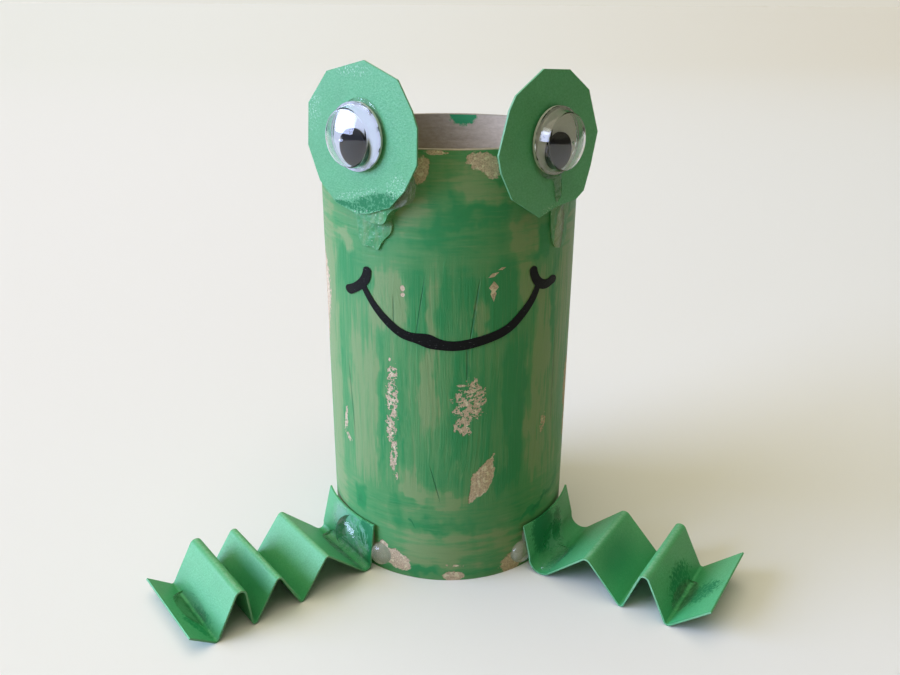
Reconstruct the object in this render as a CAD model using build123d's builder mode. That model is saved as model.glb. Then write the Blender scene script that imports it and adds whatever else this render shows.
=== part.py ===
from build123d import *
import math
import os

# Paper roll frog: a short cardboard roll stands upright as the body. Two hand cut card
# discs with plastic wobble eyes are glued to its rim, a marker smile runs round its front,
# and two accordion folded card strips are glued on as legs. Millimetres, +Z up, the front
# faces -Y. The origin is on the axis of the roll, in the plane that it stands on.

# Roll
roll_radius = 21.5
roll_wall = 0.55
roll_height = 74.5
rim_round = 0.15

# Green craft card, used for the discs and the legs
card_thick = 0.3

# Card discs behind the eyes
disc_radius = 11.1
disc_gap = 0.8
disc_left_turn = -38.5
disc_left_shift = 1.05
disc_left_lift = 0.8
disc_right_turn = 43.0
disc_right_shift = -0.75
disc_right_lift = 0.05

# Outlines of the discs as scissors left them: across and up, as shares of the disc radius
disc_left_shares = [
    (0.11, 1.00), (0.68, 0.79), (0.91, 0.43), (0.99, 0.23), (0.98, -0.23),
    (0.77, -0.58), (0.50, -0.84), (0.13, -0.97), (-0.11, -1.00), (-0.49, -0.90),
    (-0.79, -0.63), (-0.99, -0.16), (-0.94, 0.41), (-0.56, 0.84),
]
disc_right_shares = [
    (-0.20, 0.97), (0.32, 0.94), (0.75, 0.66), (1.00, 0.08), (0.89, -0.38),
    (0.77, -0.72), (0.61, -0.82), (0.16, -0.87), (-0.16, -0.97), (-0.72, -0.64),
    (-0.94, -0.27), (-1.00, -0.05), (-0.82, 0.50), (-0.71, 0.67),
]

# Wobble eyes: a white backing plate, a clear dome with a flange, and a loose black disc
eye_radius = 5.0
eye_back_thick = 0.4
eye_flange_thick = 0.25
eye_wall_radius = 4.65
eye_shoulder_radius = 4.2
eye_shoulder_height = 2.0
eye_shoulder_round = 0.45
eye_dome_height = 3.0
eye_dome_wall = 0.22
pupil_radius = 2.75
pupil_thick = 0.6
pupil_round = 0.12
pupil_play = 0.08
eye_glue_thick = 0.35
eye_left_across = -0.1
eye_left_up = 0.5
eye_right_across = 0.55
eye_right_up = 0.6

# Glue under the eyes: angle from across, and reach as a share of the eye radius
eye_glue_left_shares = [
    (0, 0.93), (30, 1.08), (55, 1.13), (80, 1.12), (105, 1.03), (140, 0.9),
    (180, 0.88), (225, 0.86), (270, 0.9), (315, 0.92),
]
eye_glue_right_shares = [
    (0, 0.9), (45, 0.88), (90, 0.92), (135, 0.9), (180, 0.9), (215, 1.02),
    (240, 1.12), (265, 1.14), (290, 1.1), (325, 0.94),
]
# Smear that runs down the right disc: across and up from the eye, shares of its radius
eye_smear_thick = 0.15
eye_smear_shares = [
    (-0.10, -0.85), (0.40, -0.80), (0.44, -1.30), (0.46, -1.72), (0.30, -1.90),
    (0.14, -1.55), (0.02, -1.20),
]

# Glue between the discs and the roll, then the drips that ran down from it
pad_rise = 1.5
drip_thick = 0.3
pad_left_shares = [
    (0.72, -0.52), (0.72, -0.66), (0.67, -0.79), (0.54, -0.86), (0.43, -0.97),
    (0.39, -1.05), (0.23, -1.10), (0.00, -1.07), (-0.20, -1.01), (-0.42, -0.80),
    (-0.48, -0.50), (-0.30, -0.22), (0.10, -0.15), (0.50, -0.20),
]
drip_left_shares = [
    (-0.18, -0.90), (0.36, -0.95), (0.41, -1.08), (0.40, -1.20), (0.34, -1.28),
    (0.25, -1.38), (0.18, -1.48), (0.06, -1.45), (-0.06, -1.46), (-0.15, -1.33),
    (-0.19, -1.10),
]
pad_right_shares = [
    (-0.45, -0.20), (-0.55, -0.45), (-0.40, -0.75), (-0.05, -0.88), (0.30, -0.84),
    (0.62, -0.78), (0.80, -0.55), (0.60, -0.25), (0.10, -0.12),
]
drip_right_shares = [
    (0.16, -0.80), (0.16, -1.03), (0.20, -1.28), (0.28, -1.46), (0.40, -1.51),
    (0.57, -1.46), (0.63, -1.34), (0.61, -1.20), (0.66, -1.09), (0.90, -0.98),
    (0.96, -0.82), (0.70, -0.70), (0.40, -0.68),
]

# Smile, drawn with a marker below the drips. Its lines go along by shares of the half angle and
# up by shares of the rise, and each point has its own share of the stroke's width.
smile_half_angle = 40.0
smile_gap = 2.5
smile_rise = 8.5
smile_stroke = 1.5
smile_thick = 0.12
smile_shares = [
    (-0.97, 0.95, 0.62), (-0.86, 0.69, 0.70), (-0.67, 0.37, 0.88), (-0.45, 0.15, 1.00),
    (-0.34, 0.12, 1.15), (-0.22, 0.08, 1.52), (-0.12, 0.03, 1.25), (0.10, 0.00, 1.06),
    (0.24, 0.04, 1.05), (0.45, 0.13, 1.00), (0.62, 0.24, 0.97), (0.80, 0.48, 0.90),
    (0.95, 0.77, 0.76), (1.01, 0.98, 0.60),
]
tick_shares = [
    [(-1.20, 0.82, 1.00), (-1.10, 0.90, 0.92), (-0.98, 1.05, 0.98), (-0.92, 1.28, 0.90)],
    [(0.94, 1.30, 0.84), (0.98, 1.12, 0.90), (1.08, 0.98, 1.00), (1.25, 1.00, 1.00)],
]

# Legs: each is one strip of card, folded up and down, with its first panel glued to the
# roll as a tab. Turn is the way that the leg points, from +X.
leg_left_turn = -142.25
leg_left_gap = 1.6
leg_left_reach = 32.7
leg_left_width = 16.4
leg_left_flare = 2.1
leg_left_shift = -2.0
leg_left_rise = 7.5
leg_right_turn = -33.1
leg_right_gap = 3.0
leg_right_reach = 29.9
leg_right_width = 17.15
leg_right_flare = 1.4
leg_right_shift = 0.76
leg_right_rise = 7.5

# Crests of the folds: out from the first one as a share of the reach, up as a share of the
# rise, and the bend's radius as a share of the fold radius. The last row is the free end.
fold_radius = 0.5
leg_left_shares = [
    (0.000, 0.00, 2.0), (0.235, 0.86, 1.2), (0.400, 0.00, 0.9), (0.517, 0.87, 1.3),
    (0.667, 0.00, 0.8), (0.725, 0.99, 1.9), (0.873, 0.00, 1.0), (1.000, 0.39, 0.0),
]
leg_right_shares = [
    (0.000, 0.00, 4.6), (0.278, 0.86, 2.0), (0.505, 0.00, 1.0), (0.625, 1.00, 1.8),
    (0.779, 0.00, 1.2), (1.000, 0.74, 0.0),
]

# Tabs: the card keeps a flatter curve than the roll, so its back corner springs away
tab_left_height = 8.8
tab_right_height = 8.55
tab_film = 0.3
tab_curl = 28.5
tab_touch_share = 0.3
tab_stub = 0.5

# Glue round the legs. Lens reach and rise are the half sizes of a flattened drop.
bead_reach = 2.1
bead_rise = 1.5
bead_sink = 0.5
bead_left_lead = 0.7
bead_right_lead = -0.3
bead_up = 3.2
seam_inset = 0.6
seam_share = 0.6
seam_thick = 0.8
seam_low = 3.2
seam_high = 7.0
blob_left_reach = 4.3
blob_left_rise = 2.0
blob_left_across = 1.8
blob_left_up = 4.5
pool_left_reach = 6.5
pool_left_rise = 2.6
pool_left_across = 1.2
blob_right_reach = 4.2
blob_right_rise = 1.5
blob_right_across = -3.4
foot_fold = -1
foot_glue_rise = 1.9
foot_glue_left_reach = 5.0
foot_glue_right_reach = 4.5
foot_glue_left_across = -0.6
foot_glue_right_across = -1.0

overrun = 2.0
bend_passes = 6
up = Vector(0, 0, 1)

os.makedirs("parts", exist_ok=True)


def keep(piece, name):
    """Label a finished piece and write it out."""
    piece.part.label = name
    export_step(piece.part, f"parts/{name}.step")


def face_plane(turn, reach):
    """Upright plane that faces out from the roll, turned about the axis from the front."""
    across = Vector(math.cos(math.radians(turn)), math.sin(math.radians(turn)), 0)
    outward = across.cross(up)
    return Plane(origin=outward * reach, x_dir=across, z_dir=outward)


def disc_middle(side):
    """Middle of a card disc on its own plane: across, then up from the table."""
    if side == "left":
        return Vector(disc_left_shift, roll_height + disc_left_lift)
    return Vector(disc_right_shift, roll_height + disc_right_lift)


def disc_turn(side):
    """Angle of a card disc from the front."""
    return disc_left_turn if side == "left" else disc_right_turn


def on_disc(side, shares):
    """Points on a disc's plane, from shares of the disc radius about its middle."""
    middle = disc_middle(side)
    return [middle + Vector(x, y) * disc_radius for x, y in shares]


def eye_plane(side):
    """Plane of the glue under an eye, with its origin at the middle of the eye."""
    front = face_plane(disc_turn(side), roll_radius + disc_gap + card_thick)
    offset = Vector(eye_left_across, eye_left_up)
    if side == "right":
        offset = Vector(eye_right_across, eye_right_up)
    middle = disc_middle(side) + offset
    return Plane(
        origin=front.origin + front.x_dir * middle.X + up * middle.Y,
        x_dir=front.x_dir,
        z_dir=front.z_dir,
    )


def turning_plane(base, lift):
    """Plane for a profile that turns about a base plane's normal: out, then away from it."""
    return Plane(origin=base.origin + base.z_dir * lift, x_dir=base.x_dir, z_dir=-base.y_dir)


def sleeve(inner, outer):
    """Plain sleeve as tall as the roll, to trim other pieces with."""
    with BuildPart() as layer:
        with BuildSketch(Plane.XY):
            Circle(outer)
            if inner > 0:
                Circle(inner, mode=Mode.SUBTRACT)
        extrude(amount=roll_height)
    return layer.part


def curved_outline(points):
    """Flat outline with one smooth closed edge through its points."""
    with BuildSketch() as outline:
        with BuildLine():
            Spline(*points, periodic=True)
        make_face()
    return outline.sketch


# Roll
with BuildPart() as tube:
    with BuildSketch(Plane.XY):
        Circle(roll_radius)
        Circle(roll_radius - roll_wall, mode=Mode.SUBTRACT)
    extrude(amount=roll_height)
    fillet(tube.edges().group_by(Axis.Z)[-1], rim_round)
keep(tube, "tube")


# Smile
marker_rows = [smile_shares, *tick_shares]
smile_top = roll_height + disc_radius * min(low for _, low in drip_left_shares + drip_right_shares)
smile_low = smile_top - smile_gap - smile_rise * max(row[1] for line in marker_rows for row in line)


def smile_point(along, rise):
    """Point of the smile on the flat plane that it is drawn through."""
    angle = math.radians(along * smile_half_angle)
    return Vector(roll_radius * math.sin(angle), smile_low + rise * smile_rise)


def marker_line(shares):
    """Draw one line of the marker, with its own width at each point and round ends."""
    middle = [smile_point(along, rise) for along, rise, _ in shares]
    half = [share * smile_stroke / 2 for _, _, share in shares]
    upper, lower = [], []
    for index, point in enumerate(middle):
        ahead = middle[min(index + 1, len(middle) - 1)]
        behind = middle[max(index - 1, 0)]
        along = (ahead - behind).normalized()
        side = Vector(-along.Y, along.X) * half[index]
        upper.append(point + side)
        lower.append(point - side)
    with BuildSketch() as line:
        with BuildLine():
            top = Spline(*upper)
            bottom = Spline(*lower)
            Line(top @ 0, bottom @ 0)
            Line(top @ 1, bottom @ 1)
        make_face()
        for end in (0, -1):
            with Locations(middle[end]):
                Circle(half[end])
    return line.sketch


marker_lines = [marker_line(line_shares) for line_shares in marker_rows]
ink_layer = sleeve(roll_radius, roll_radius + smile_thick)
with BuildPart() as smile:
    with BuildSketch(face_plane(0, roll_radius + smile_thick)):
        add(marker_lines)
    extrude(amount=-roll_radius)
    add(ink_layer, mode=Mode.INTERSECT)
keep(smile, "smile")


# Card discs
for side, shares in (("left", disc_left_shares), ("right", disc_right_shares)):
    with BuildPart() as eye_card:
        with BuildSketch(face_plane(disc_turn(side), roll_radius + disc_gap)):
            with BuildLine():
                Polyline(*on_disc(side, shares), close=True)
            make_face()
        extrude(amount=card_thick)
    keep(eye_card, f"eye_card_{side}")


# Wobble eyes
def wall_inside(height):
    """Inside radius of the dome's wall at a height above the backing plate."""
    lean = (eye_wall_radius - eye_shoulder_radius) / eye_shoulder_height
    return eye_wall_radius - eye_dome_wall - lean * height


for side in ("left", "right"):
    base = eye_plane(side)
    front_of_back = eye_glue_thick + eye_back_thick

    with BuildPart() as eye_back:
        with BuildSketch(base.offset(eye_glue_thick)):
            Circle(eye_radius)
        extrude(amount=eye_back_thick)
    keep(eye_back, f"eye_back_{side}")

    with BuildPart() as eye_dome:
        cap_rise = eye_dome_height - eye_shoulder_height
        inner_shoulder = eye_shoulder_radius - eye_dome_wall
        cap_radius = (eye_shoulder_radius**2 + cap_rise**2) / (2 * cap_rise)
        inner_cap = (inner_shoulder**2 + cap_rise**2) / (2 * cap_rise)
        inner_top = eye_dome_height - eye_dome_wall
        inner_side = eye_shoulder_height - eye_dome_wall
        with BuildSketch(turning_plane(base, front_of_back)):
            with BuildLine():
                Polyline(
                    (eye_shoulder_radius, eye_shoulder_height),
                    (eye_wall_radius, eye_flange_thick),
                    (eye_radius, eye_flange_thick),
                    (eye_radius, 0),
                    (wall_inside(0), 0),
                    (inner_shoulder, inner_side),
                )
                RadiusArc((inner_shoulder, inner_side), (0, inner_top), -inner_cap)
                Line((0, inner_top), (0, eye_dome_height))
                RadiusArc((0, eye_dome_height), (eye_shoulder_radius, eye_shoulder_height), cap_radius)
            make_face()
        revolve(axis=Axis(base.origin, base.z_dir))
        rings = eye_dome.edges().filter_by(GeomType.CIRCLE)
        shoulder = rings.filter_by(lambda ring: abs(ring.radius - eye_shoulder_radius) < rim_round)
        fillet(shoulder, eye_shoulder_round)
    keep(eye_dome, f"eye_dome_{side}")

    with BuildPart() as eye_pupil:
        drop = wall_inside(pupil_thick) - pupil_radius - pupil_play
        with BuildSketch(base.offset(front_of_back)):
            with Locations((0, -drop)):
                Circle(pupil_radius)
        extrude(amount=pupil_thick)
        fillet(eye_pupil.edges(), pupil_round)
    keep(eye_pupil, f"eye_pupil_{side}")

    reach_shares = eye_glue_left_shares if side == "left" else eye_glue_right_shares
    squeezed = [Vector(eye_radius * share, 0).rotate(Axis.Z, angle) for angle, share in reach_shares]
    with BuildPart() as glue_eye:
        with BuildSketch(base):
            add(curved_outline(squeezed))
        extrude(amount=eye_glue_thick)
        if side == "right":
            with BuildSketch(base):
                add(curved_outline([Vector(x, y) * eye_radius for x, y in eye_smear_shares]))
            extrude(amount=eye_smear_thick)
    keep(glue_eye, f"glue_eye_{side}")


# Glue between the discs and the roll
for side, pad_shares, drip_shares in (
    ("left", pad_left_shares, drip_left_shares),
    ("right", pad_right_shares, drip_right_shares),
):
    back_of_card = face_plane(disc_turn(side), roll_radius + disc_gap)
    with BuildPart() as drip:
        with BuildSketch(back_of_card):
            add(curved_outline(on_disc(side, drip_shares)))
        extrude(amount=-roll_radius)
        add(sleeve(roll_radius, roll_radius + drip_thick), mode=Mode.INTERSECT)
    with BuildPart() as glue_card:
        with BuildSketch(back_of_card):
            add(curved_outline(on_disc(side, pad_shares)))
        extrude(amount=-roll_radius)
        add(sleeve(roll_radius, roll_radius + pad_rise), mode=Mode.INTERSECT)
        add(drip.part)
    keep(glue_card, f"glue_card_{side}")


# Legs
class Leg:
    """Sizes and planes of one folded leg. Out is along the leg, and across is to its left."""

    def __init__(self, side):
        left = side == "left"
        self.side = side
        self.front = 1 if left else -1
        self.width = leg_left_width if left else leg_right_width
        self.flare = leg_left_flare if left else leg_right_flare
        self.shift = leg_left_shift if left else leg_right_shift
        self.reach = leg_left_reach if left else leg_right_reach
        self.rise = leg_left_rise if left else leg_right_rise
        self.start = roll_radius + (leg_left_gap if left else leg_right_gap)
        self.shares = leg_left_shares if left else leg_right_shares
        turn = math.radians(leg_left_turn if left else leg_right_turn)
        self.out = Vector(math.cos(turn), math.sin(turn), 0)
        self.across = up.cross(self.out)
        self.plan = Plane(origin=(0, 0, 0), x_dir=self.out, z_dir=up)
        self.side_view = Plane(origin=(0, 0, 0), x_dir=self.out, z_dir=-self.across)
        tab_height = tab_left_height if left else tab_right_height
        self.tab_top = Vector(roll_radius + tab_film + card_thick / 2, tab_height)
        self.crests = [
            Vector(self.start + self.reach * out, card_thick / 2 + self.rise * high)
            for out, high, _ in self.shares
        ]
        self.radii = [share * fold_radius for _, _, share in self.shares[:-1]]

    def half_width(self, out):
        """Half the width of the strip at a distance out from the axis."""
        return (self.width + self.flare * (out - self.start) / self.reach) / 2

    def corners(self):
        """Sharp corners of the folds, placed so that each rounded bend keeps its crest."""
        line = [self.tab_top, *self.crests]
        found = []
        for index, radius in enumerate(self.radii):
            before, crest, after = line[index : index + 3]
            inside = 1 if after.Y > crest.Y else -1
            centre = crest + Vector(0, inside * radius)
            corner = crest
            for _ in range(bend_passes):
                back = (before - corner).normalized()
                ahead = (after - corner).normalized()
                half_angle = math.radians(back.get_angle(ahead) / 2)
                corner = centre - (back + ahead).normalized() * (radius / math.sin(half_angle))
            found.append(corner)
        return found

    def stub(self):
        """End of the straight stub above the first bend, where the tab takes over."""
        corner, following = self.corners()[:2]
        back = (self.tab_top - corner).normalized()
        ahead = (following - corner).normalized()
        half_angle = math.radians(back.get_angle(ahead) / 2)
        return corner + back * (self.radii[0] / math.tan(half_angle) + tab_stub)

    def place(self, out, across, high):
        """Point in the model from distances along the leg, across it and up."""
        return self.out * out + self.across * across + up * high


def strip(leg):
    """Folded strip with true bends, trimmed to its flared outline in plan."""
    near = roll_radius
    far = leg.start + leg.reach + overrun
    with BuildPart() as folded:
        with BuildSketch(leg.side_view):
            with BuildLine():
                FilletPolyline(leg.stub(), *leg.corners(), leg.crests[-1], radius=leg.radii)
            trace(line_width=card_thick)
        extrude(amount=leg.width, both=True)
        with BuildSketch(leg.plan):
            with BuildLine():
                Polyline(
                    (near, leg.shift - leg.half_width(near)),
                    (far, leg.shift - leg.half_width(far)),
                    (far, leg.shift + leg.half_width(far)),
                    (near, leg.shift + leg.half_width(near)),
                    close=True,
                )
            make_face()
        extrude(amount=leg.rise + overrun, mode=Mode.INTERSECT)
    return folded.part


def tab(leg):
    """Glued tab, from the straight stub up to a curved edge that springs off the roll."""
    stub = leg.stub()
    rise = (leg.tab_top - leg.corners()[0]).normalized()
    width = 2 * leg.half_width(stub.X)
    stub_plane = Plane(
        origin=leg.place(stub.X, leg.shift, stub.Y),
        x_dir=leg.across,
        z_dir=leg.out * rise.X + up * rise.Y,
    )
    touch_side = leg.shift + leg.front * (1 / 2 - tab_touch_share) * width
    touch = math.degrees(math.asin(touch_side / roll_radius))
    middle_radius = tab_curl + card_thick / 2
    to_front = math.degrees(tab_touch_share * width / middle_radius) * leg.front
    whole = math.degrees(width / middle_radius) * leg.front
    hub = Vector(roll_radius + tab_film - tab_curl, 0).rotate(Axis.Z, touch)
    with BuildPart() as flap:
        with BuildSketch(stub_plane):
            Rectangle(width, card_thick)
        with BuildSketch(leg.plan.offset(leg.tab_top.Y)):
            with BuildLine():
                inner = CenterArc(hub, tab_curl, touch + to_front, -whole)
                outer = CenterArc(hub, tab_curl + card_thick, touch + to_front, -whole)
                Line(inner @ 0, outer @ 0)
                Line(inner @ 1, outer @ 1)
            make_face()
        loft(ruled=True)
    return flap.part


def lens(profile, reach, rise):
    """Flattened drop of glue, turned about the second axis of the plane of its profile."""
    with BuildPart() as drop:
        with BuildSketch(profile):
            with BuildLine():
                Spline((0, rise), (reach, 0), (0, -rise), tangents=(Vector(X=1), Vector(X=-1)))
                Line((0, -rise), (0, rise))
            make_face()
        revolve(axis=Axis(profile.origin, profile.y_dir))
    return drop.part


def pool(leg, card, fold, across, reach, rise):
    """Drop of glue that settled on top of a fold of a leg's card, between its two panels."""
    line = [leg.tab_top, *leg.corners(), leg.crests[-1]]
    bottom = leg.crests[fold]
    middle = leg.place(bottom.X, leg.shift + across, bottom.Y)
    with BuildPart() as drop:
        with BuildSketch(leg.side_view):
            with BuildLine():
                Polyline(*line[fold : fold + 3], close=True)
            make_face()
        extrude(amount=leg.width, both=True)
        upright = Plane(origin=middle, x_dir=leg.out, z_dir=-leg.across)
        add(lens(upright, reach, rise), mode=Mode.INTERSECT)
        add(card, mode=Mode.SUBTRACT)
        add(drop.solids().sort_by(Axis.Z)[-1], mode=Mode.REPLACE)
    return drop.part


def seam(leg, angle):
    """Band of glue that runs back under the tab from an angle at its front edge."""
    start = math.degrees(angle)
    length = -leg.front * math.degrees(leg.width / roll_radius) * seam_share
    with BuildPart() as band:
        with BuildSketch(leg.plan.offset(seam_low)):
            with BuildLine():
                near = CenterArc((0, 0), roll_radius - seam_thick, start, length)
                far = CenterArc((0, 0), roll_radius + seam_thick, start, length)
                Line(near @ 0, far @ 0)
                Line(near @ 1, far @ 1)
            make_face()
        extrude(amount=seam_high - seam_low)
    return band.part


solid_roll = sleeve(0, roll_radius)

for side in ("left", "right"):
    leg = Leg(side)
    with BuildPart() as folded_leg:
        add(strip(leg))
        add(tab(leg))
    keep(folded_leg, f"leg_{side}")
    card = folded_leg.part

    # Glue between the tab and the roll, with a bead at the front edge of the tab
    front_edge = leg.shift + leg.front * leg.width / 2
    bead_lead = bead_left_lead if side == "left" else bead_right_lead
    angle = math.asin((front_edge + leg.front * bead_lead) / roll_radius)
    outward = leg.out * math.cos(angle) + leg.across * math.sin(angle)
    bead_middle = outward * (roll_radius - bead_sink) + up * bead_up
    bead_plane = Plane(origin=bead_middle, x_dir=up, z_dir=up.cross(outward))
    with BuildPart() as glue_leg:
        add(lens(bead_plane, bead_reach, bead_rise + bead_sink))
        add(seam(leg, math.asin((front_edge - leg.front * seam_inset) / roll_radius)))
        add(solid_roll, mode=Mode.SUBTRACT)
        add(card, mode=Mode.SUBTRACT)
        add(glue_leg.solids().sort_by(SortBy.VOLUME)[-1], mode=Mode.REPLACE)
    keep(glue_leg, f"glue_leg_{side}")

    # Glue in the first fold: a fat drop against the left tab, and a thin pool by the right one
    with BuildPart() as glue_blob:
        if side == "left":
            blob_middle = leg.place(leg.start, blob_left_across, blob_left_up)
            blob_plane = Plane(origin=blob_middle, x_dir=up, z_dir=up.cross(leg.out))
            add(lens(blob_plane, blob_left_reach, blob_left_rise))
            add(pool(leg, card, 0, pool_left_across, pool_left_reach, pool_left_rise))
        else:
            add(pool(leg, card, 0, blob_right_across, blob_right_reach, blob_right_rise))
        add(solid_roll, mode=Mode.SUBTRACT)
        add(card, mode=Mode.SUBTRACT)
        add(glue_leg.part, mode=Mode.SUBTRACT)
        add(glue_blob.solids().sort_by(SortBy.VOLUME)[-1], mode=Mode.REPLACE)
    keep(glue_blob, f"glue_blob_{side}")

    # Glue that ran into the last fold
    foot_reach = foot_glue_left_reach if side == "left" else foot_glue_right_reach
    foot_across = foot_glue_left_across if side == "left" else foot_glue_right_across
    with BuildPart() as glue_foot:
        last_fold = len(leg.radii) + foot_fold
        add(pool(leg, card, last_fold, foot_across, foot_reach, foot_glue_rise))
    keep(glue_foot, f"glue_foot_{side}")
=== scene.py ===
import math

import bpy
from mathutils import Matrix, Vector

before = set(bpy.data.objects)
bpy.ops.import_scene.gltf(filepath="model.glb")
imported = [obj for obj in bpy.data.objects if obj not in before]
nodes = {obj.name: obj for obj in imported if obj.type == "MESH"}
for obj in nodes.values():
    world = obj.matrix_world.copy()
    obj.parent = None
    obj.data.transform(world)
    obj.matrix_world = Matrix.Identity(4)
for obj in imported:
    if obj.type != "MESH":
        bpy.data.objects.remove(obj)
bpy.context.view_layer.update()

# Sizes of the real thing in millimetres, for patterns that follow it
roll_radius = 21.5
roll_height = 74.5
disc_left_turn = -38.5
disc_right_turn = 43.0
leg_left_turn = -142.25
leg_right_turn = -33.1

# What lies nearer the axis than this is the inside of the roll
inside_radius = 21.2

# What lies nearer the axis than this belongs to the tab of a leg
tab_reach = 25.0

# Heights of the bands that show the cut edges of the roll at its top and at its foot
rim_band = 0.2
foot_band = 0.01

# Heights where the brush turned from upright strokes to strokes round the roll
upper_turn = (54.0, 60.0)
lower_turn = (19.5, 14.0)

# What every ribbon of paint has on top of its own raggedness and softness, and its strength
ribbon_fray = 0.3
ribbon_soft = 0.2
ribbon_strength = 0.85

# Colours of the paint on the roll, from thin to thick, with its hairs and creases
paint_thin = (0.225, 0.37, 0.162)
paint_mid = (0.10, 0.335, 0.122)
paint_deep = (0.03, 0.285, 0.092)
paint_darkest = (0.015, 0.20, 0.065)
hair_pale = (0.29, 0.46, 0.24)
hair_dark = (0.03, 0.26, 0.085)
crease_dark = (0.01, 0.14, 0.05)

# Colours of the board, where it is bare outside with a painted highlight on its torn edges, inside the
# roll and on its cut edges
board_dark = (0.50, 0.385, 0.26)
board_light = (0.73, 0.59, 0.43)
board_painted_glint = (0.84, 0.76, 0.56)
inside_dark = (0.30, 0.25, 0.185)
inside_light = (0.50, 0.44, 0.36)
inside_paint = (0.03, 0.30, 0.12)
rim_dark = (0.30, 0.27, 0.20)
rim_light = (0.50, 0.46, 0.38)

# Colours of the craft card and of what is on it, with painted shade and painted glints
card_dark = (0.066, 0.40, 0.158)
card_light = (0.115, 0.475, 0.212)
card_cut = (0.22, 0.50, 0.30)
card_smear = (0.004, 0.21, 0.07)
# Painted glint on the discs
card_painted_glint = (0.62, 0.86, 0.70)
# Painted shade on leg panels that lie in the shadow of the next fold
card_painted_shade = (0.012, 0.25, 0.09)
# Glue film on the tabs, partly its own colour and partly a painted reflection
card_wet_glue_and_reflection = (0.22, 0.46, 0.38)
# Painted shade low in the folds of the legs
card_painted_fold_shade = (0.02, 0.32, 0.12)
card_worn = (0.34, 0.62, 0.40)

# Colours of the floor, near and far, on the window's side and away from it, with painted light that
# falls off away from the window
floor_near_left = (0.84, 0.87, 0.885)
floor_near_right = (0.705, 0.735, 0.72)
floor_far_left = (0.81, 0.85, 0.84)
floor_far_right = (0.66, 0.65, 0.57)
# What the floor throws back onto the frog, and what a glossy piece mirrors past the table
floor_bounce = (0.30, 0.295, 0.18)
past_table_dark = (0.05, 0.045, 0.04)
table_reach = 420.0
table_end = 450.0

# Camera in metres and degrees, where the photograph was taken from
camera_place = (-0.00064, -0.1443, 0.0939)
camera_pan = -0.34
camera_tip = 21.47
camera_roll = 0.31
lens_length = 34.01
sensor_width = 36.0

# Light of the dim room, and its walls as the camera sees them from left to right, with painted light
# that falls off away from the window
room_light = (0.185, 0.178, 0.125)
wall_left = (0.82, 0.82, 0.78)
wall_right = (0.70, 0.67, 0.58)
wall_turn = 0.45


class Number:
    """A number in a node tree. Sums on it add the Math nodes that work them out."""

    def __init__(self, graph, socket):
        self.graph = graph
        self.socket = socket

    def sum(self, operation, *values):
        return self.graph.node("Math", {"operation": operation}, dict(enumerate(values)))

    def __add__(self, other):
        return self.sum("ADD", self, other)

    def __radd__(self, other):
        return self.sum("ADD", other, self)

    def __sub__(self, other):
        return self.sum("SUBTRACT", self, other)

    def __rsub__(self, other):
        return self.sum("SUBTRACT", other, self)

    def __mul__(self, other):
        return self.sum("MULTIPLY", self, other)

    def __truediv__(self, other):
        return self.sum("DIVIDE", self, other)

    def __neg__(self):
        return self.sum("MULTIPLY", self, -1.0)

    def __pow__(self, other):
        return self.sum("POWER", self, other)

    def __abs__(self):
        return self.sum("ABSOLUTE", self)

    def __gt__(self, other):
        return self.sum("GREATER_THAN", self, other)

    def __lt__(self, other):
        return self.sum("LESS_THAN", self, other)

    def __or__(self, other):
        return self.sum("MAXIMUM", self, other)


class Graph:
    """Node tree of a material or of the world, and short ways to add nodes to it."""

    def __init__(self, owner):
        owner.use_nodes = True
        self.tree = owner.node_tree
        self.tree.nodes.clear()

    def node(self, kind, settings, inputs, output=0):
        """Add a node with its settings and inputs, and give back one of its outputs."""
        made = self.tree.nodes.new("ShaderNode" + kind)
        for key, value in settings.items():
            setattr(made, key, value)
        for key, value in inputs.items():
            socket = made.inputs[key]
            if isinstance(value, Number):
                self.tree.links.new(value.socket, socket)
            elif isinstance(value, bpy.types.NodeSocket):
                self.tree.links.new(value, socket)
            elif socket.type == "RGBA":
                socket.default_value = (*value, 1.0)
            else:
                socket.default_value = value
        if output is None:
            return made
        result = made.outputs[output]
        return Number(self, result) if result.type == "VALUE" else result

    def of_vectors(self, operation, output, *vectors):
        """One output of a Vector Math node."""
        settings = {"operation": operation}
        return self.node("VectorMath", settings, dict(enumerate(vectors)), output)

    def scaled(self, vector, size):
        """Vector made longer or shorter, or colour made lighter or darker."""
        return self.node("VectorMath", {"operation": "SCALE"}, {"Vector": vector, "Scale": size})

    def parts(self, vector):
        """The three numbers of a vector."""
        split = self.node("SeparateXYZ", {}, {"Vector": vector}, None)
        return [Number(self, split.outputs[axis]) for axis in "XYZ"]

    def vector(self, x, y, z):
        return self.node("CombineXYZ", {}, {"X": x, "Y": y, "Z": z})

    def ease(self, value, low, high):
        """Nought below low and one above high, with a smooth step between."""
        if low > high:
            return 1.0 - self.ease(value, high, low)
        settings = {"interpolation_type": "SMOOTHSTEP"}
        return self.node("MapRange", settings, {"Value": value, "From Min": low, "From Max": high})

    def tint(self, amount, under, over):
        """Colour over another one by an amount."""
        settings = {"data_type": "RGBA", "clamp_factor": True}
        return self.node("Mix", settings, {0: amount, 6: under, 7: over}, 2)


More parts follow.
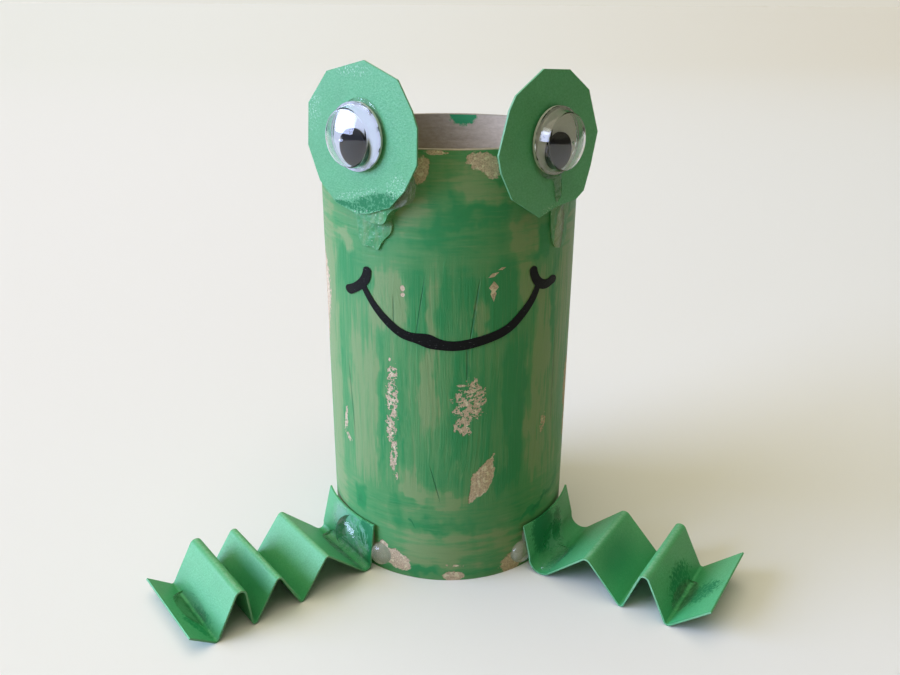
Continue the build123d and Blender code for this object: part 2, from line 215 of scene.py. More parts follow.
class Finish(Graph):
    """A finish being mixed. Its patterns are in millimetres of the object's own space."""

    def __init__(self, name):
        self.material = bpy.data.materials.new(name)
        super().__init__(self.material)
        metres = self.node("TexCoord", {}, {}, "Object")
        self.place = self.scaled(metres, 1000.0)
        self.x, self.y, self.z = self.parts(self.place)

    def noise(self, size, stretch=(1.0, 1.0, 1.0), detail=2.0, rough=0.5, shift=0.0, place=None):
        """Noise with grains of a size in millimetres, drawn out along an axis by its stretch."""
        fitted = self.node(
            "Mapping",
            {"vector_type": "TEXTURE"},
            {
                "Vector": place or self.place,
                "Location": (shift, shift, shift),
                "Scale": [size * along for along in stretch],
            },
        )
        sockets = {"Vector": fitted, "Scale": 1.0, "Detail": detail, "Roughness": rough}
        return self.node("TexNoise", {}, sockets)

    def blot(self, flat, middle, half, lean, fray, soft, edge, shape="round"):
        """Round, box or kite shaped patch on a flat pair of lengths, with a ragged edge."""
        cos, sin = math.cos(math.radians(lean)), math.sin(math.radians(lean))
        away = self.of_vectors("SUBTRACT", "Vector", flat, (*middle, 0.0))
        along = self.of_vectors("DOT_PRODUCT", "Value", away, (cos / half[0], sin / half[0], 0.0))
        up = self.of_vectors("DOT_PRODUCT", "Value", away, (-sin / half[1], cos / half[1], 0.0))
        if shape == "round":
            reach = self.of_vectors("LENGTH", "Value", self.vector(along, up, 0.0))
        elif shape == "box":
            reach = self.of_vectors("LENGTH", "Value", self.vector(along * along, up * up, 0.0))
            reach = reach**0.5
        else:
            reach = abs(along) + abs(up)
        return self.ease(reach + (edge - 0.5) * fray, 1.0 + soft, 1.0 - soft)

    def blots(self, flat, rows, edge, shape="round"):
        """Several patches on one flat pair of lengths, as one amount."""
        total = None
        for middle, half, lean, fray, soft in rows:
            patch = self.blot(flat, middle, half, lean, fray, soft, edge, shape)
            total = patch if total is None else total | patch
        return total

    def bump(self, height, depth):
        """Normal for a relief of a depth in millimetres."""
        sockets = {"Height": height, "Distance": depth / 1000.0, "Strength": 1.0}
        return self.node("Bump", {}, sockets)

    def toward(self, direction):
        """How far the surface faces along a direction or against it, from nought to one."""
        facing = self.node("NewGeometry", {}, {}, "Normal")
        return abs(self.of_vectors("DOT_PRODUCT", "Value", facing, direction))

    def body(self, colour, rough, **others):
        """Plain shader with a colour and a roughness, and other inputs by their names."""
        named = {"Base Color": colour, "Roughness": rough}
        named.update({key.replace("_", " "): value for key, value in others.items()})
        return self.node("BsdfPrincipled", {}, named)

    def lamps_through(self, shader, clear):
        """Shader that lets the light of lamps through it, as thin clear plastic does."""
        passing = self.node("BsdfTransparent", {}, {"Color": clear})
        for kind in ("Is Diffuse Ray", "Is Shadow Ray"):
            ray = self.node("LightPath", {}, {}, kind)
            shader = self.node("MixShader", {}, {0: ray, 1: shader, 2: passing})
        return shader

    def coat(self, shader, *pieces):
        """Put the finish with this shader on pieces."""
        self.node("OutputMaterial", {}, {"Surface": shader}, None)
        for piece in pieces:
            for slot in piece.material_slots:
                slot.material = self.material


def face_direction(turn):
    """Direction that something on the roll faces, from its turn about the roll's front."""
    angle = math.radians(turn)
    return (math.sin(angle), -math.cos(angle), 0.0)


def on_disc(f, turn):
    """Flat pair of lengths on the disc that faces this way: across it and up."""
    angle = math.radians(turn)
    across = f.x * math.cos(angle) + f.y * math.sin(angle)
    return f.vector(across, f.z, 0.0)


# Patches on the roll's outside. Each row is a middle as the length round from the front and the
# height, half sizes, lean, raggedness and softness. The first list shows bare board.
bare_rows = [
    ((-4.3, 71.4), (1.15, 2.1), -16, 0.9, 0.08),
    ((-2.1, 74.0), (1.5, 0.35), 0, 1.2, 0.10),
    ((4.8, 72.6), (2.5, 1.35), -10, 1.1, 0.08),
    ((6.0, 71.2), (1.3, 0.9), -30, 1.1, 0.08),
    ((-7.4, 53.2), (0.42, 0.5), 0, 1.2, 0.10),
    ((-7.4, 52.1), (0.36, 0.34), 0, 1.2, 0.10),
    ((-29.2, 49.0), (3.4, 6.0), 6, 1.5, 0.10),
    ((-30.6, 42.6), (2.6, 5.4), -8, 1.6, 0.10),
    ((-9.4, 3.0), (2.9, 1.8), -22, 0.9, 0.08),
    ((-12.0, 4.8), (1.0, 1.2), 10, 0.9, 0.08),
    ((0.8, 0.9), (1.9, 0.95), 0, 0.8, 0.08),
    ((12.0, 1.7), (2.5, 1.9), 8, 1.1, 0.08),
    ((5.9, 19.6), (1.55, 3.4), -22, 0.5, 0.05),
    ((28.6, 30.4), (2.2, 5.4), 6, 1.5, 0.15),
    ((29.4, 24.0), (1.8, 4.0), -6, 1.6, 0.15),
    ((-48.0, 6.0), (2.6, 1.6), 12, 1.3, 0.10),
    ((-60.5, 58.0), (0.9, 3.2), 5, 1.6, 0.10),
    ((52.0, 44.0), (1.2, 4.6), -4, 1.7, 0.10),
    ((44.0, 73.0), (4.0, 1.2), 0, 1.2, 0.10),
    ((63.0, 2.0), (3.4, 1.3), 0, 1.2, 0.10),
]
# Bare places where the brush left only specks of paint
speckled_rows = [
    ((3.3, 34.0), (2.3, 3.6), -14, 2.0, 0.06),
    ((2.2, 30.2), (1.3, 1.6), 20, 2.0, 0.06),
    ((3.9, 37.2), (0.6, 1.3), -20, 1.8, 0.06),
    ((2.0, 37.3), (0.9, 0.22), 0, 1.8, 0.06),
    ((-9.4, 38.6), (0.95, 1.2), 0, 2.2, 0.06),
    ((-9.6, 34.2), (1.05, 3.8), 2, 2.2, 0.06),
    ((-9.9, 28.6), (0.9, 2.2), 0, 2.4, 0.06),
    ((-9.5, 23.8), (0.62, 2.7), -3, 2.4, 0.06),
    ((-9.0, 19.8), (0.25, 0.8), 0, 1.6, 0.06),
    ((-9.9, 40.9), (0.22, 0.3), 0, 1.6, 0.06),
    ((-20.9, 26.6), (0.5, 2.4), -10, 2.0, 0.06),
    ((-20.1, 23.6), (1.0, 0.5), -30, 2.0, 0.06),
    ((1.3, 3.0), (1.7, 0.24), -4, 1.7, 0.08),
    ((18.0, 27.4), (0.7, 1.6), -12, 2.2, 0.08),
]
# Bare places with points at both ends
pointed_rows = [
    ((5.5, 19.8), (1.9, 5.1), -25, 0.7, 0.05),
    ((6.9, 53.4), (0.85, 1.0), 0, 0.4, 0.05),
    ((6.85, 52.4), (0.5, 1.3), 4, 0.4, 0.05),
    ((6.8, 55.4), (1.0, 0.32), 24, 0.8, 0.08),
    ((8.2, 56.3), (0.7, 0.22), 14, 0.8, 0.08),
]
# Ribbons of thick and thin paint, with how much each one adds last
ribbon_rows = [
    ((4.4, 68.7), (4.1, 2.7), -7, 0.35, 0.12, -0.42),
    ((1.5, 66.7), (1.2, 2.1), 24, 0.5, 0.25, 0.42),
    ((7.2, 69.4), (0.8, 1.2), 20, 0.5, 0.25, 0.50),
    ((3.6, 64.5), (6.8, 1.5), 4, 0.5, 0.20, 0.42),
    ((-6.1, 65.0), (2.9, 2.4), 0, 0.4, 0.20, -0.34),
    ((-4.3, 68.5), (1.2, 3.6), 4, 0.4, 0.25, -0.26),
    ((0.5, 71.0), (3.4, 2.2), 0, 0.5, 0.30, -0.16),
    ((3.0, 60.6), (6.4, 2.2), 6, 0.6, 0.30, 0.16),
    ((-2.6, 61.6), (1.5, 2.2), 12, 0.5, 0.25, 0.28),
    ((12.0, 61.2), (2.2, 3.2), 4, 0.5, 0.20, -0.46),
    ((15.8, 59.8), (1.5, 3.0), 0, 1.5, 0.20, 0.75),
    ((-17.3, 55.0), (4.4, 4.0), 4, 0.6, 0.20, 0.34),
    ((-19.3, 59.3), (2.2, 1.3), 0, 0.6, 0.30, -0.60),
    ((-12.2, 61.8), (3.2, 2.6), 0, 0.6, 0.30, 0.26),
    ((-25.6, 57.0), (2.8, 9.0), 0, 0.4, 0.30, -0.36),
    ((-10.1, 51.0), (3.3, 5.0), 0, 0.35, 0.10, -0.52),
    ((-5.2, 49.6), (1.5, 6.6), 0, 0.35, 0.20, 0.30),
    ((-2.6, 49.4), (1.1, 5.4), 0, 0.35, 0.20, -0.36),
    ((2.0, 51.4), (3.5, 5.6), 0, 0.35, 0.20, 0.34),
    ((5.0, 48.4), (0.85, 3.0), 0, 0.5, 0.20, -0.62),
    ((8.6, 51.0), (2.9, 5.6), 0, 0.35, 0.20, 0.50),
    ((12.7, 53.2), (1.5, 4.2), 4, 0.3, 0.12, -0.52),
    ((17.0, 46.0), (2.1, 8.0), 0, 0.4, 0.25, -0.40),
    ((19.7, 47.0), (0.7, 9.6), 0, 0.4, 0.20, 0.50),
    ((25.5, 50.0), (4.4, 13.0), 0, 0.4, 0.25, -0.40),
    ((-15.4, 30.5), (3.2, 12.6), 0, 0.35, 0.12, -0.42),
    ((-20.4, 35.0), (1.3, 10.0), 0, 0.4, 0.20, 0.26),
    ((-25.5, 30.0), (3.2, 22.0), 0, 0.3, 0.25, -0.44),
    ((-11.6, 32.0), (0.75, 13.5), 0, 0.4, 0.25, 0.36),
    ((-7.9, 30.0), (0.9, 14.0), 0, 0.4, 0.25, 0.24),
    ((-3.4, 35.6), (1.3, 7.6), 0, 0.4, 0.20, -0.38),
    ((-6.6, 18.9), (1.4, 3.4), 18, 0.5, 0.20, -0.50),
    ((-1.2, 23.6), (3.6, 7.4), 0, 0.4, 0.25, 0.20),
    ((1.6, 35.6), (1.3, 9.0), 0, 0.35, 0.20, 0.40),
    ((7.0, 29.0), (1.9, 12.0), 0, 0.4, 0.25, 0.26),
    ((11.4, 31.0), (2.0, 12.6), 0, 0.3, 0.20, 0.62),
    ((16.4, 30.5), (2.3, 13.0), 0, 0.4, 0.20, -0.34),
    ((15.9, 28.1), (0.7, 6.8), 2, 0.6, 0.30, -0.60),
    ((20.8, 28.0), (1.5, 14.0), 0, 0.4, 0.25, -0.30),
    ((-2.8, 16.3), (6.0, 1.5), -9, 0.5, 0.20, -0.46),
    ((-9.4, 14.4), (1.4, 3.4), 0, 0.5, 0.25, 0.36),
    ((9.4, 18.0), (1.4, 3.2), -14, 0.6, 0.25, 0.30),
    ((-1.9, 11.0), (5.4, 1.4), 0, 0.5, 0.25, 0.46),
    ((2.5, 6.0), (12.0, 3.1), 0, 0.4, 0.25, -0.38),
    ((-4.7, 1.4), (3.2, 0.9), 0, 0.9, 0.20, 0.60),
    ((-17.2, 12.8), (0.8, 1.7), 0, 1.2, 0.5, 0.80),
    ((-6.4, 11.3), (0.2, 1.0), 35, 0.5, 0.30, 1.00),
    ((20.6, 12.6), (4.4, 0.5), 30, 1.0, 0.30, 0.90),
    ((15.6, 10.4), (2.2, 0.4), 20, 1.0, 0.30, 0.70),
    ((-36.5, 34.0), (2.4, 14.0), 3, 0.5, 0.25, 0.44),
    ((-41.5, 45.0), (2.2, 11.0), 0, 0.5, 0.25, -0.44),
    ((-46.5, 30.0), (2.6, 13.0), -2, 0.5, 0.25, 0.40),
    ((-52.0, 38.0), (1.8, 15.0), 2, 0.5, 0.25, -0.38),
    ((-57.0, 44.0), (2.8, 10.0), 0, 0.5, 0.25, 0.50),
    ((-61.5, 28.0), (2.0, 12.0), 0, 0.5, 0.25, -0.42),
    ((33.5, 44.0), (2.2, 12.0), 0, 0.5, 0.25, 0.40),
    ((38.5, 28.0), (2.4, 12.0), 3, 0.5, 0.25, -0.40),
    ((44.0, 42.0), (2.6, 13.0), 0, 0.5, 0.25, 0.48),
    ((50.0, 30.0), (1.9, 12.0), -2, 0.5, 0.25, -0.36),
    ((55.5, 36.0), (2.6, 14.0), 0, 0.5, 0.25, 0.36),
    ((62.0, 46.0), (2.2, 9.0), 2, 0.5, 0.25, -0.44),
    ((-44.0, 65.0), (9.0, 2.2), 3, 0.5, 0.25, 0.42),
    ((-56.0, 69.0), (7.0, 2.0), -3, 0.5, 0.25, -0.40),
    ((42.0, 62.0), (8.0, 2.2), -2, 0.5, 0.25, 0.36),
    ((56.0, 67.0), (8.0, 2.4), 4, 0.5, 0.25, -0.40),
    ((-50.0, 10.0), (10.0, 2.4), 0, 0.5, 0.25, 0.36),
    ((50.0, 9.0), (9.0, 2.6), 0, 0.5, 0.25, -0.36),
]
# Creases and cracks in the paint
crease_rows = [
    ((3.9, 49.4), (0.14, 4.4), -8, 0.3, 0.4),
    ((2.85, 41.0), (0.12, 2.6), 0, 0.3, 0.4),
    ((-4.6, 50.2), (0.07, 4.4), -9, 0.3, 0.4),
    ((-18.6, 31.5), (0.10, 6.0), 5, 0.3, 0.4),
    ((-9.0, 49.0), (0.08, 2.6), 0, 0.3, 0.4),
    ((-2.2, 19.0), (0.08, 3.0), 14, 0.6, 0.5),
    ((20.6, 35.0), (0.14, 8.0), 0, 0.3, 0.4),
]


def paint_roll():
    """Greyboard roll, brushed green by hand outside, with thin and bare patches."""
    f = Finish("painted_roll")
    arc = f.x.sum("ARCTAN2", f.x, -f.y) * roll_radius
    flat = f.vector(arc, f.z, 0.0)
    radius = (f.x * f.x + f.y * f.y) ** 0.5
    grain = f.noise(0.22, detail=3.0, rough=0.6)
    ragged = f.noise(0.75, detail=2.5, rough=0.65)

    # Strokes: upright in the middle of the roll, and round it near both ends
    wander = (f.noise(8.0, (1.0, 1.0, 3.5), 2.0, 0.5, shift=17.0) - 0.5) * 4.0
    bent = f.of_vectors("ADD", "Vector", f.place, f.vector(wander, wander, 0.0))
    strokes = f.noise(0.7, (1.0, 1.0, 22.0), 4.0, 0.68, place=bent)
    rings = f.noise(1.1, (9.0, 9.0, 1.0), 4.0, 0.62, shift=3.0)
    sweep = f.noise(6.0, (2.0, 2.0, 1.0), 2.0, 0.5, shift=21.0)
    brushed_round = f.ease(f.z + (sweep - 0.5) * 14.0, *upper_turn)
    brushed_round = brushed_round | f.ease(f.z + (sweep - 0.5) * 12.0, *lower_turn)
    stroke = strokes + (rings - strokes) * brushed_round

    # How thick the paint lies, with its ribbons on a flat that sways a little
    broad = f.noise(3.6, (1.0, 1.0, 4.0), 3.0, 0.55, shift=9.0)
    sway = f.noise(3.0, (1.0, 1.0, 1.5), 2.0, 0.5, shift=51.0)
    lift = f.noise(3.0, (1.0, 1.0, 1.5), 2.0, 0.5, shift=57.0)
    swept = f.of_vectors("ADD", "Vector", flat, f.vector(sway * 4.0 - 2.0, lift * 6.0 - 3.0, 0.0))
    cover = 0.55 + (broad - 0.5) * 0.8 + (stroke - 0.5) * 1.35
    for middle, half, lean, fray, soft, added in ribbon_rows:
        fray = fray + ribbon_fray
        soft = soft + ribbon_soft
        patch = f.blot(swept, middle, half, lean, fray, soft, stroke, "box")
        cover = cover + patch * (added * ribbon_strength)
    colour = f.tint(f.ease(cover, 0.15, 0.55), paint_thin, paint_mid)
    colour = f.tint(f.ease(cover, 0.5, 1.0), colour, paint_deep)
    colour = f.tint(f.ease(cover, 1.1, 1.6), colour, paint_darkest)

    # Lines that single hairs of the brush left, then creases
    hairs = f.noise(0.28, (1.0, 1.0, 40.0), 2.0, 0.5, shift=31.0, place=bent)
    hairs = hairs + (f.noise(0.35, (16.0, 16.0, 1.0), 2.0, 0.5, shift=33.0) - hairs) * brushed_round
    hair_share = 0.20 - brushed_round * 0.06
    colour = f.tint(f.ease(hairs, 0.60, 0.72) * hair_share, colour, hair_pale)
    colour = f.tint(f.ease(hairs, 0.40, 0.30) * hair_share, colour, hair_dark)
    colour = f.scaled(colour, 0.88 + grain * 0.1 + stroke * 0.14)
    creases = f.blots(flat, crease_rows, stroke)
    colour = f.tint(creases * 0.5, colour, crease_dark)

    # Bare board
    specks = f.ease(f.noise(0.55, (1.2, 1.2, 1.0), 2.0, 0.6, shift=41.0), 0.58, 0.52)
    bare = f.blots(flat, bare_rows, ragged) | f.blots(flat, pointed_rows, ragged, "kite")
    bare = bare | f.blots(flat, speckled_rows, ragged) * specks
    board = f.tint(f.ease(grain, 0.35, 0.6), board_dark, board_light)
    # Painted highlights: pale cream where torn edges of the bare board catch the light
    board = f.tint(f.ease(ragged, 0.52, 0.62), board, board_painted_glint)
    colour = f.tint(bare, colour, board)
    colour = f.tint(radius < inside_radius, colour, board_inside(f, ragged))
    rim = (f.z > roll_height - rim_band) + (f.z < foot_band)
    colour = f.tint(rim, colour, f.tint(ragged, rim_dark, rim_light))

    painted = (1.0 - bare) * (radius > inside_radius)
    relief = stroke * 0.6 + hairs * (hair_share * 0.6) + painted * 0.35 + grain * 0.1 - creases * 0.8
    rough = 0.80 - painted * (0.40 - stroke * 0.2)
    shader = f.body(colour, rough, Normal=f.bump(relief, 0.2), Specular_IOR_Level=0.4)
    f.coat(shader, nodes["tube"])


def board_inside(f, ragged):
    """Colour of the board inside the roll, with painted light that makes it darker on its left and
    lighter on its right, and one touch of paint.
    """
    fibre = f.noise(0.5, (2.0, 2.0, 1.0), 3.0, 0.6, shift=5.0)
    inside = f.tint(fibre, inside_dark, inside_light)
    # Painted light: lighter towards the right, where the window's light falls inside the roll
    inside = f.scaled(inside, 0.84 + f.ease(f.x, -6.0, 12.0) * 0.62)
    touch = f.blot(f.vector(f.x, f.z, 0.0), (2.6, 73.9), (2.4, 1.5), 0, 1.0, 0.15, ragged)
    return f.tint(touch * (f.y > 15.0), inside, inside_paint)


def card_colour(f, flat, smear_rows, edge, ragged):
    """Colour of green craft card with smears and pale cut edges, its fibres and its smears."""
    fibre = f.noise(0.28, (1.6, 1.0, 1.0), 3.0, 0.7)
    cloud = f.noise(3.2, detail=2.0, shift=4.0)
    colour = f.tint(f.ease(fibre, 0.3, 0.7), card_dark, card_light)
    colour = f.scaled(colour, 0.9 + cloud * 0.2)
    scribble = f.ease(f.noise(0.5, detail=2.0, rough=0.6, shift=71.0), 0.36, 0.52)
    smear = f.blots(flat, smear_rows, ragged) * (0.4 + scribble * 0.6)
    colour = f.tint(smear, colour, card_smear)
    return f.tint(edge * 0.6, colour, card_cut), fibre, smear


def colour_disc(side, turn, smear_rows, painted_glint_rows):
    """Craft card of a disc. Its smears and its pale specks of painted glint lie across the card and
    up.
    """
    f = Finish(f"card_disc_{side}")
    flat = on_disc(f, turn)
    ragged = f.noise(0.35, detail=3.0, rough=0.7)
    edge = f.toward(face_direction(turn)) < 0.6
    colour, fibre, smear = card_colour(f, flat, smear_rows, edge, ragged)
    # Painted glints: pale specks where the card catches the light
    painted_glint = f.ease(f.noise(0.26, detail=2.0, rough=0.6, shift=61.0), 0.56, 0.62)
    colour = f.tint(f.blots(flat, painted_glint_rows, ragged) * painted_glint * 0.5, colour, card_painted_glint)
    relief = f.bump(fibre, 0.07)
    shader = f.body(colour, 0.5 + smear * 0.35, Normal=relief, Specular_IOR_Level=0.8)
    f.coat(shader, nodes[f"eye_card_{side}"])


def colour_leg(side, turn, smear_rows, painted_shade_rows, tab_smear_rows, wet_glue_and_reflection_rows, crests):
    """Craft card of a leg. Its rows lie out along the leg and across it, or up on the tab."""
    f = Finish(f"card_leg_{side}")
    angle = math.radians(turn)
    out = f.x * math.cos(angle) + f.y * math.sin(angle)
    across = f.y * math.cos(angle) - f.x * math.sin(angle)
    flat = f.vector(out, across, 0.0)
    ragged = f.noise(0.6, detail=3.0, rough=0.7)
    edge = f.toward((-math.sin(angle), math.cos(angle), 0.0)) > 0.75
    colour, fibre, smear = card_colour(f, flat, smear_rows, edge, ragged)
    # Painted shade: dark patches on panels where the next fold casts its shadow
    colour = f.tint(f.blots(flat, painted_shade_rows, ragged) * 0.85, colour, card_painted_shade)

    tab = f.vector(across, f.z, 0.0)
    on_tab = (out < tab_reach) * (1.0 - edge)
    # Film of glue on the tab: a real glossy film, and a lighter bluish tint that is partly painted
    # reflection of the window
    wet_glue_and_reflection = f.blots(tab, wet_glue_and_reflection_rows, ragged) * on_tab
    colour = f.tint(wet_glue_and_reflection * 0.55, colour, card_wet_glue_and_reflection)
    colour = f.tint(f.blots(tab, tab_smear_rows, ragged) * on_tab, colour, card_smear)

    # Painted shade darker low in the folds, and worn pale along the crests
    painted_fold_shade = f.ease(f.z + (ragged - 0.5) * 2.0, 5.0, 0.5)
    colour = f.tint(painted_fold_shade * 0.55, colour, card_painted_fold_shade)
    worn = None
    for crest in crests:
        line = f.ease(abs(out - crest), 0.5, 0.15) * f.ease(ragged, 0.3, 0.6)
        worn = line if worn is None else worn | line
    colour = f.tint(worn * f.ease(f.z, 5.5, 6.2) * 0.4, colour, card_worn)
    relief = f.bump(fibre, 0.07)
    shader = f.body(colour, 0.5 + smear * 0.3 - wet_glue_and_reflection * 0.32, Normal=relief, Specular_IOR_Level=0.8)
    f.coat(shader, nodes[f"leg_{side}"])


def plastic_eyes():
    """White backs, black pupils and clear domes of the wobble eyes."""
    white = Finish("eye_back_white")
    speck = white.noise(0.6, detail=2.0)
    colour = white.tint(speck, (0.62, 0.64, 0.63), (0.71, 0.73, 0.73))
    white.coat(white.body(colour, 0.35), nodes["eye_back_left"], nodes["eye_back_right"])

    black = Finish("eye_pupil_black")
    dust = black.ease(black.noise(0.3, detail=3.0, rough=0.7), 0.62, 0.75)
    colour = black.tint(dust, (0.006, 0.007, 0.009), (0.04, 0.042, 0.045))
    shader = black.body(colour, 0.3, Specular_IOR_Level=0.15)
    black.coat(shader, nodes["eye_pupil_left"], nodes["eye_pupil_right"])

    for side in ("left", "right"):
        clear = Finish(f"eye_dome_{side}")
        shader = clear.body((0.97, 0.98, 1.0), 0.03, Transmission_Weight=1.0, IOR=1.49)
        shader = clear.lamps_through(shader, (0.93, 0.94, 0.96))
        clear.coat(shader, nodes[f"eye_dome_{side}"])


def glue_skin(f, relief, milk, cloudy, under):
    """Shader of clear glue over a coloured ground, with a gloss and a milky share."""
    # Light goes straight on at an IOR of one, so the ground keeps its colour under the glue
    straight = {"Color": (0.98, 0.99, 0.985), "Roughness": 0.0, "IOR": 1.0}
    through = f.node("BsdfRefraction", {}, straight)
    gloss = f.node("BsdfGlossy", {}, {"Color": (1.0, 1.0, 1.0), "Roughness": 0.1, "Normal": relief})
    slant = f.node("LayerWeight", {}, {"Blend": 0.5, "Normal": relief}, "Facing")
    glossy_share = slant**5.0 * 0.15 + 0.05
    skin = f.node("MixShader", {}, {0: glossy_share, 1: through, 2: gloss})
    # Seen from within, the far side of the glue is what it lies on
    ground = f.body(under, 0.6)
    inner = f.node("NewGeometry", {}, {}, "Backfacing")
    skin = f.node("MixShader", {}, {0: inner, 1: skin, 2: ground})
    body = f.body(cloudy, 0.2, Normal=relief)
    shader = f.node("MixShader", {}, {0: milk, 1: skin, 2: body})
    return f.lamps_through(shader, (0.96, 0.98, 0.97))


def hot_glue(name, pieces, milk, cloudy, ground):
    """Set hot glue, a little lumpy, on a ground of two colours. Milk is its cloudy share."""
    f = Finish(name)
    relief = f.bump(f.noise(1.8, detail=2.0, rough=0.5), 0.35)
    patches = f.ease(f.noise(1.1, detail=3.0, rough=0.65, shift=23.0), 0.42, 0.58)
    under = f.tint(patches, *ground)
    f.coat(glue_skin(f, relief, milk, cloudy, under), *(nodes[piece] for piece in pieces))


def painted_glue(side, turn, clear_rows, cloudy):
    """Hot glue that was brushed over with the roll's paint, clear in some places, with painted glints.
    """
    f = Finish(f"glue_card_{side}")
    flat = on_disc(f, turn)
    lumps = f.noise(1.3, detail=3.0, rough=0.5)
    ragged = f.noise(0.5, detail=3.0, rough=0.7)
    strokes = f.noise(0.9, (1.0, 1.0, 4.0), 3.0, 0.6)
    colour = f.tint(f.ease(strokes, 0.35, 0.7), (0.06, 0.33, 0.12), (0.15, 0.36, 0.15))
    # Painted glints: pale sparkles where the lumps of glue catch the light
    painted_glints = f.ease(f.noise(0.35, detail=1.0, shift=13.0), 0.68, 0.74)
    colour = f.tint(painted_glints * 0.6, colour, (0.62, 0.78, 0.62))
    relief = f.bump(lumps + strokes * 0.2, 0.3)
    paint = f.body(colour, 0.45, Normal=relief)
    glue = glue_skin(f, relief, 0.45, cloudy, colour)
    bare = f.blots(flat, clear_rows, ragged)
    shader = f.node("MixShader", {}, {0: bare, 1: paint, 2: glue})
    f.coat(shader, nodes[f"glue_card_{side}"])


def marker_ink():
    """Black permanent marker with faint streaks and a few grey flecks of painted highlight."""
    f = Finish("marker_ink")
    streak = f.noise(0.5, (1.0, 1.0, 0.5), 3.0, 0.6)
    # Painted highlights: grey flecks where the shiny ink catches the light
    painted_glint = f.ease(f.noise(0.22, (2.5, 2.5, 1.0), 2.0, 0.5, shift=7.0), 0.66, 0.74)
    colour = f.tint(streak, (0.004, 0.005, 0.005), (0.010, 0.011, 0.012))
    colour = f.tint(painted_glint * 0.7, colour, (0.10, 0.10, 0.11))
    shader = f.body(colour, 0.38 + streak * 0.15, Normal=f.bump(streak, 0.05), Specular_IOR_Level=0.1)
    f.coat(shader, nodes["smile"])


def lay_floor():
    """Seamless pale floor with painted light, darker and warmer away from the window. Glossy pieces
    mirror only a table of it.
    """
    bpy.ops.mesh.primitive_plane_add(size=400.0, location=(0.0, 0.0, -0.00003))
    floor = bpy.context.object
    floor.name = "studio_floor"
    f = Finish("floor_paper")
    behind = f.y | 0.0
    # Painted light: the floor darkens away from the window, as its light falls off across the room
    side = f.ease(f.x / (behind + 300.0), -0.4, 0.7)
    far = f.ease(f.y, 200.0, 1500.0)
    near_colour = f.tint(side, floor_near_left, floor_near_right)
    far_colour = f.tint(side, floor_far_left, floor_far_right)
    # Painted light: a little lighter in front of the frog
    near_colour = f.scaled(near_colour, 1.0 + f.ease(f.y, -20.0, -110.0) * 0.04)
    seen = f.tint(far, near_colour, far_colour)
    path = f.node("LightPath", {}, {}, "Is Camera Ray")
    mirrored = f.node("LightPath", {}, {}, "Is Glossy Ray")
    past_side = abs(f.x) - behind * 0.6
    past_table = f.ease(past_side, table_reach, table_end) | f.ease(f.y, -table_reach, -table_end)
    seen = f.tint(past_table * mirrored, seen, past_table_dark)
    through = f.node("LightPath", {}, {}, "Is Transmission Ray")
    colour = f.tint(path | mirrored | through, floor_bounce, seen)
    floor.data.materials.append(f.material)
    f.coat(f.node("BsdfDiffuse", {}, {"Color": colour}), floor)


def place_camera():
    """Camera where the photograph was taken from."""
    lens = bpy.data.cameras.new("camera")
    lens.sensor_fit = "HORIZONTAL"
    lens.sensor_width = sensor_width
    lens.lens = lens_length
    lens.clip_start = 0.01
    lens.clip_end = 50.0
    camera = bpy.data.objects.new("camera", lens)
    bpy.context.scene.collection.objects.link(camera)
    turn = Matrix.Rotation(math.radians(camera_pan), 4, "Z")
    tip = Matrix.Rotation(math.radians(90.0 - camera_tip), 4, "X")
    roll = Matrix.Rotation(math.radians(camera_roll), 4, "Z")
    camera.matrix_world = Matrix.Translation(camera_place) @ turn @ tip @ roll
    bpy.context.scene.camera = camera


def add_lamp(name, kind, turn, rise, reach, energy, colour):
    """Lamp that shines on the middle of the frog from a turn about its front and a rise."""
    lamp = bpy.data.objects.new(name, bpy.data.lights.new(name, kind))
    bpy.context.scene.collection.objects.link(lamp)
    flat = face_direction(turn)
    level = math.cos(math.radians(rise))
    away = Vector((flat[0] * level, flat[1] * level, math.sin(math.radians(rise))))
    facing = away.to_track_quat("Z", "Y").to_matrix().to_4x4()
    frog_middle = Vector((0.0, 0.0, 0.03))
    lamp.matrix_world = Matrix.Translation(frog_middle + away * reach) @ facing
    lamp.data.energy = energy
    lamp.data.color = colour
    return lamp


def light_room():
    """Cool daylight from a window on the left and warm light from the ceiling of a room."""
    window = add_lamp(
        "window_light", "SUN", turn=-77.0, rise=14.0, reach=2.0, energy=3.5, colour=(0.87, 1.0, 1.52)
    )
    window.data.angle = math.radians(48.0)
    ceiling = add_lamp(
        "ceiling_light", "SUN", turn=-85.0, rise=77.0, reach=2.0, energy=1.68, colour=(1.15, 1.0, 0.74)
    )
    ceiling.data.angle = math.radians(76.0)
    ceiling.visible_glossy = False
    pane = add_lamp(
        "window_pane", "AREA", turn=-59.0, rise=36.0, reach=1.2, energy=0.7, colour=(0.93, 0.98, 1.0)
    )
    pane.data.shape = "RECTANGLE"
    pane.data.size = 0.12
    pane.data.size_y = 0.45
    pane.visible_diffuse = False


def surround_room():
    """World that lights the frog as a dim room, while the camera sees its pale walls."""
    world = bpy.data.worlds.new("room")
    g = Graph(world)
    dim = g.node("Background", {}, {"Color": room_light})
    across = g.parts(g.node("TexCoord", {}, {}, "Generated"))[0]
    # Painted light: the walls darken from left to right, away from the window
    side = g.node("MapRange", {}, {"Value": across, "From Min": -wall_turn, "From Max": wall_turn})
    walls = g.node("Background", {}, {"Color": g.tint(side, wall_left, wall_right)})
    path = g.node("LightPath", {}, {}, "Is Camera Ray")
    either = g.node("MixShader", {}, {0: path, 1: dim, 2: walls})
    g.node("OutputWorld", {}, {"Surface": either}, None)
    bpy.context.scene.world = world


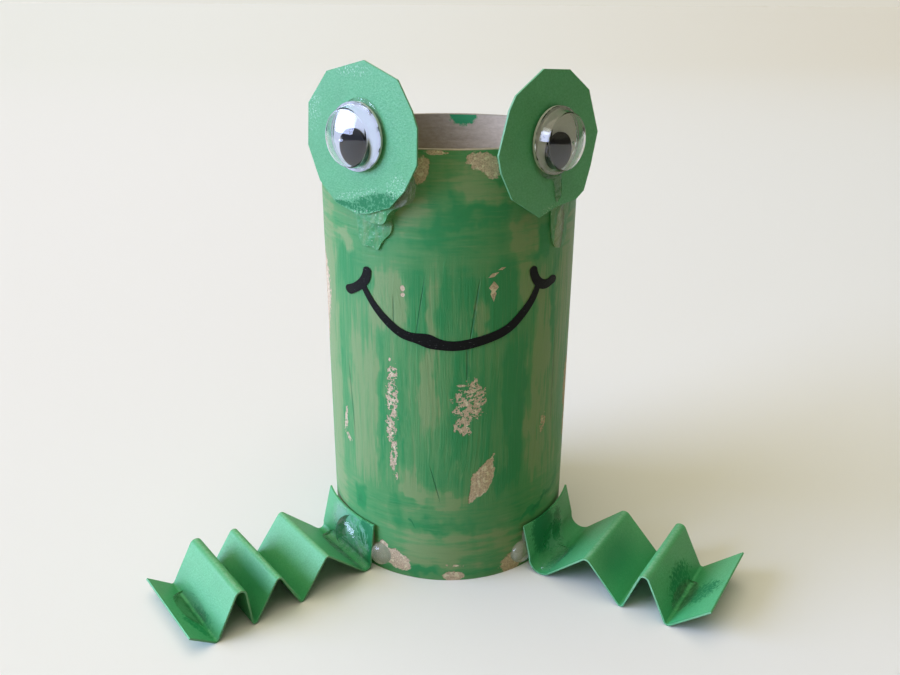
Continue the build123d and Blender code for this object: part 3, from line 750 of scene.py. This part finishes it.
paint_roll()
colour_disc(
    "left",
    disc_left_turn,
    smear_rows=[((3.4, 66.3), (5.0, 1.3), 15, 1.6, 0.10), ((-2.2, 65.4), (2.4, 0.45), -2, 1.9, 0.10)],
    painted_glint_rows=[
        ((0.0, 67.2), (5.0, 0.6), 14, 1.2, 0.3),
        ((8.0, 69.2), (2.0, 1.6), 40, 1.2, 0.3),
        ((2.0, 64.5), (5.0, 0.5), 6, 1.2, 0.3),
        ((-8.6, 80.0), (1.6, 4.0), 0, 1.0, 0.5),
        ((0.0, 85.0), (3.0, 0.8), 0, 1.0, 0.5),
    ],
)
colour_disc(
    "right",
    disc_right_turn,
    smear_rows=[((1.6, 64.0), (2.3, 0.8), 4, 1.3, 0.10)],
    painted_glint_rows=[((1.0, 64.4), (3.0, 1.0), 0, 1.2, 0.3)],
)
colour_leg(
    "left",
    leg_left_turn,
    smear_rows=[((51.6, 0.0), (0.8, 4.2), 4, 2.0, 0.2), ((53.0, 3.0), (0.8, 3.0), 20, 2.4, 0.2)],
    painted_shade_rows=[((42.2, 1.0), (1.5, 6.8), 0, 0.5, 0.7)],
    tab_smear_rows=[((4.4, 6.4), (2.4, 2.6), -20, 1.3, 0.15), ((5.8, 3.0), (0.9, 2.6), 0, 1.3, 0.15)],
    wet_glue_and_reflection_rows=[((-2.0, 4.4), (4.6, 4.4), 0, 0.8, 0.3)],
    crests=(30.8, 40.0, 46.8),
)
colour_leg(
    "right",
    leg_right_turn,
    smear_rows=[
        ((25.6, -2.0), (1.4, 3.8), -6, 1.8, 0.2),
        ((46.6, 1.0), (1.2, 4.4), 0, 2.0, 0.2),
        ((50.6, -0.5), (2.2, 3.0), -30, 2.6, 0.2),
    ],
    painted_shade_rows=[((35.8, -1.0), (2.2, 6.4), 0, 0.5, 0.7)],
    tab_smear_rows=[((-2.6, 5.6), (3.4, 4.4), 0, 1.3, 0.15), ((2.6, 4.0), (1.8, 3.4), 0, 1.9, 0.15)],
    wet_glue_and_reflection_rows=[((1.0, 3.0), (4.0, 2.6), 0, 0.8, 0.3)],
    crests=(32.8, 43.2),
)
plastic_eyes()
hot_glue(
    "glue_under_eyes",
    ("glue_eye_left", "glue_eye_right"),
    milk=0.06,
    cloudy=(0.42, 0.55, 0.46),
    ground=((0.16, 0.54, 0.26), (0.12, 0.47, 0.21)),
)
hot_glue(
    "glue_beads",
    ("glue_leg_left", "glue_leg_right"),
    milk=0.4,
    cloudy=(0.46, 0.48, 0.38),
    ground=((0.44, 0.48, 0.38), (0.34, 0.42, 0.32)),
)
hot_glue(
    "glue_blobs",
    ("glue_blob_left", "glue_blob_right"),
    milk=0.03,
    cloudy=(0.40, 0.52, 0.48),
    ground=((0.17, 0.42, 0.30), (0.05, 0.34, 0.15)),
)
hot_glue(
    "glue_feet",
    ("glue_foot_left", "glue_foot_right"),
    milk=0.01,
    cloudy=(0.30, 0.45, 0.38),
    ground=((0.09, 0.44, 0.18), (0.02, 0.28, 0.10)),
)
painted_glue(
    "left",
    disc_left_turn,
    clear_rows=[((9.6, 67.6), (2.6, 3.0), -40, 0.8, 0.2)],
    cloudy=(0.40, 0.50, 0.44),
)
painted_glue(
    "right",
    disc_right_turn,
    clear_rows=[((3.6, 60.6), (1.2, 4.0), -8, 1.0, 0.2)],
    cloudy=(0.40, 0.50, 0.28),
)
marker_ink()
lay_floor()
place_camera()
light_room()
surround_room()
bpy.context.scene.view_settings.view_transform = "Standard"
